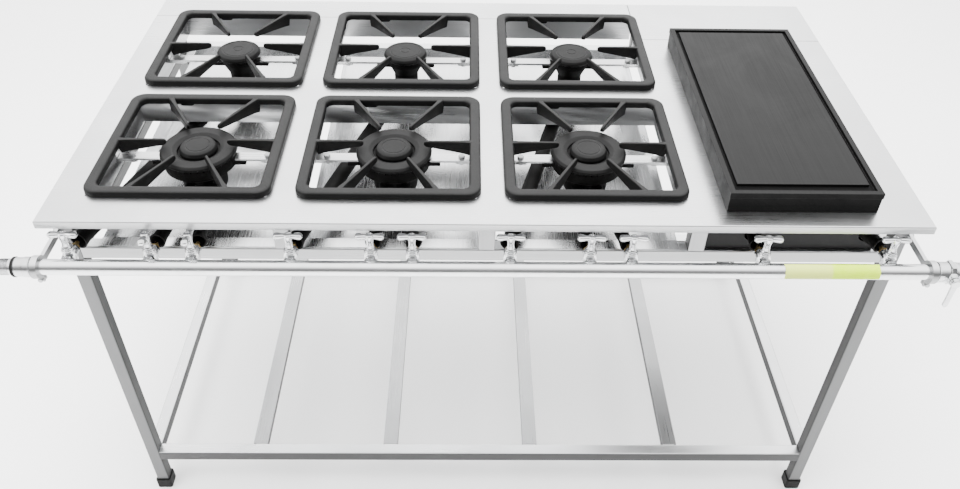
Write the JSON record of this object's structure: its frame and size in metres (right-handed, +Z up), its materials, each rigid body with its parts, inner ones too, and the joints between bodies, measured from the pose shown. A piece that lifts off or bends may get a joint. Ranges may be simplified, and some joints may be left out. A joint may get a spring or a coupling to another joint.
{
  "type": "commercial gas range",
  "caption": "Free-standing stainless commercial gas range: open burners under cast iron grates, a griddle at the right, a front gas pipe with wing-handle valves and a slatted low shelf.",
  "frame": {"origin": "bottom centre of the bounding box: on the floor, midway between the ends of the gas line and midway between the front of the shut-off lever and the rear edge of the tabletop", "axes": "+X to the range's right as seen from its front, +Y from the front to the back, +Z up; the front faces -Y"},
  "size_m": [1.514, 0.83, 0.828],
  "materials": {
    "stainless": "brushed sheet, satin",
    "frame_steel": "satin square tube and angle",
    "chrome": "bright plating",
    "cast_iron": "rough casting, matte black enamel",
    "burner_cap": "turned cast iron, dull",
    "burner_iron": "rough black casting",
    "black_sheet": "matte black sheet",
    "griddle_iron": "ground plate, seasoned",
    "brass": "turned",
    "foot_black": "moulded",
    "label": "printed film, blank",
    "bolt_steel": "zinc plated"
  },
  "bodies": {
    "range": {"front_legs": "frame_steel", "rear_legs": "frame_steel", "foot_caps": "foot_black", "upper_front_rail": "frame_steel", "upper_rear_rail": "frame_steel", "upper_side_rails": "frame_steel", "shelf_cross_rails": "frame_steel", "shelf_side_rails": "frame_steel", "shelf_slats": "stainless", "top_front_rail": "stainless", "top_rear_rail": "stainless", "top_left_rail": "stainless", "top_right_rail": "stainless", "top_dividers": "stainless", "row_bridges": "stainless", "griddle_rear_panel": "stainless", "top_posts": "stainless", "drip_trays": "stainless", "support_bars": "stainless", "bar_end_angles": "frame_steel", "hex_bolts": "bolt_steel", "rear_burner_bodies": "burner_iron", "rear_mixer_tubes": "burner_iron", "front_burner_bodies": "burner_iron", "front_ring_caps": "burner_cap", "griddle_burner_box": "black_sheet", "griddle_tube_burners": "burner_iron", "manifold_pipe": "chrome", "pipe_brackets": "frame_steel", "valve_bodies": "chrome", "injectors": "brass", "inlet_coupling": "chrome", "inlet_nipple": "chrome", "shutoff_cock": "chrome", "blank_label": "label"},
    "grate_1": {"grate_1": "cast_iron"},
    "grate_2": {"grate_2": "cast_iron"},
    "grate_3": {"grate_3": "cast_iron"},
    "grate_4": {"grate_4": "cast_iron"},
    "grate_5": {"grate_5": "cast_iron"},
    "grate_6": {"grate_6": "cast_iron"},
    "griddle_plate": {"griddle_plate": "griddle_iron"},
    "rear_cap_1": {"rear_cap_1": "burner_cap"},
    "rear_cap_2": {"rear_cap_2": "burner_cap"},
    "rear_cap_3": {"rear_cap_3": "burner_cap"},
    "inner_cap_1": {"inner_cap_1": "burner_cap"},
    "inner_cap_2": {"inner_cap_2": "burner_cap"},
    "inner_cap_3": {"inner_cap_3": "burner_cap"},
    "valve_handle_1": {"valve_handle_1": "chrome"},
    "valve_handle_2": {"valve_handle_2": "chrome"},
    "valve_handle_3": {"valve_handle_3": "chrome"},
    "valve_handle_4": {"valve_handle_4": "chrome"},
    "valve_handle_5": {"valve_handle_5": "chrome"},
    "valve_handle_6": {"valve_handle_6": "chrome"},
    "valve_handle_7": {"valve_handle_7": "chrome"},
    "valve_handle_8": {"valve_handle_8": "chrome"},
    "valve_handle_9": {"valve_handle_9": "chrome"},
    "valve_handle_10": {"valve_handle_10": "chrome"},
    "valve_handle_11": {"valve_handle_11": "chrome"},
    "shutoff_lever": {"shutoff_lever": "chrome"}
  },
  "joints": [
    {"name": "grate_1_lift", "type": "slide", "parent": "range", "child": "grate_1", "axis": [0, 0, 1], "range_m": [0, 0.1]},
    {"name": "grate_2_lift", "type": "slide", "parent": "range", "child": "grate_2", "axis": [0, 0, 1], "range_m": [0, 0.1]},
    {"name": "grate_3_lift", "type": "slide", "parent": "range", "child": "grate_3", "axis": [0, 0, 1], "range_m": [0, 0.1]},
    {"name": "grate_4_lift", "type": "slide", "parent": "range", "child": "grate_4", "axis": [0, 0, 1], "range_m": [0, 0.1]},
    {"name": "grate_5_lift", "type": "slide", "parent": "range", "child": "grate_5", "axis": [0, 0, 1], "range_m": [0, 0.1]},
    {"name": "grate_6_lift", "type": "slide", "parent": "range", "child": "grate_6", "axis": [0, 0, 1], "range_m": [0, 0.1]},
    {"name": "griddle_plate_lift", "type": "slide", "parent": "range", "child": "griddle_plate", "axis": [0, 0, 1], "range_m": [0, 0.1]},
    {"name": "rear_cap_1_lift", "type": "slide", "parent": "range", "child": "rear_cap_1", "axis": [0, 0, 1], "range_m": [0, 0.06]},
    {"name": "rear_cap_2_lift", "type": "slide", "parent": "range", "child": "rear_cap_2", "axis": [0, 0, 1], "range_m": [0, 0.06]},
    {"name": "rear_cap_3_lift", "type": "slide", "parent": "range", "child": "rear_cap_3", "axis": [0, 0, 1], "range_m": [0, 0.06]},
    {"name": "inner_cap_1_lift", "type": "slide", "parent": "range", "child": "inner_cap_1", "axis": [0, 0, 1], "range_m": [0, 0.06]},
    {"name": "inner_cap_2_lift", "type": "slide", "parent": "range", "child": "inner_cap_2", "axis": [0, 0, 1], "range_m": [0, 0.06]},
    {"name": "inner_cap_3_lift", "type": "slide", "parent": "range", "child": "inner_cap_3", "axis": [0, 0, 1], "range_m": [0, 0.06]},
    {"name": "valve_1_turn", "type": "hinge", "parent": "range", "child": "valve_handle_1", "pos_m": [-0.658, -0.358, 0.765], "axis": [0, 0, 1], "range_deg": [0, 90]},
    {"name": "valve_2_turn", "type": "hinge", "parent": "range", "child": "valve_handle_2", "pos_m": [-0.531, -0.358, 0.765], "axis": [0, 0, 1], "range_deg": [-90, 0]},
    {"name": "valve_3_turn", "type": "hinge", "parent": "range", "child": "valve_handle_3", "pos_m": [-0.465, -0.358, 0.765], "axis": [0, 0, 1], "range_deg": [-90, 0]},
    {"name": "valve_4_turn", "type": "hinge", "parent": "range", "child": "valve_handle_4", "pos_m": [-0.31, -0.358, 0.765], "axis": [0, 0, 1], "range_deg": [0, 90]},
    {"name": "valve_5_turn", "type": "hinge", "parent": "range", "child": "valve_handle_5", "pos_m": [-0.183, -0.358, 0.765], "axis": [0, 0, 1], "range_deg": [0, 90]},
    {"name": "valve_6_turn", "type": "hinge", "parent": "range", "child": "valve_handle_6", "pos_m": [-0.117, -0.358, 0.765], "axis": [0, 0, 1], "range_deg": [0, 90]},
    {"name": "valve_7_turn", "type": "hinge", "parent": "range", "child": "valve_handle_7", "pos_m": [0.038, -0.358, 0.765], "axis": [0, 0, 1], "range_deg": [0, 90]},
    {"name": "valve_8_turn", "type": "hinge", "parent": "range", "child": "valve_handle_8", "pos_m": [0.165, -0.358, 0.765], "axis": [0, 0, 1], "range_deg": [0, 90]},
    {"name": "valve_9_turn", "type": "hinge", "parent": "range", "child": "valve_handle_9", "pos_m": [0.231, -0.358, 0.765], "axis": [0, 0, 1], "range_deg": [0, 90]},
    {"name": "valve_10_turn", "type": "hinge", "parent": "range", "child": "valve_handle_10", "pos_m": [0.443, -0.358, 0.765], "axis": [0, 0, 1], "range_deg": [0, 90]},
    {"name": "valve_11_turn", "type": "hinge", "parent": "range", "child": "valve_handle_11", "pos_m": [0.645, -0.358, 0.765], "axis": [0, 0, 1], "range_deg": [0, 90]},
    {"name": "shutoff_turn", "type": "hinge", "parent": "range", "child": "shutoff_lever", "pos_m": [0.732, -0.41, 0.723], "axis": [0, 1, 0], "range_deg": [0, 90]}
  ]
}
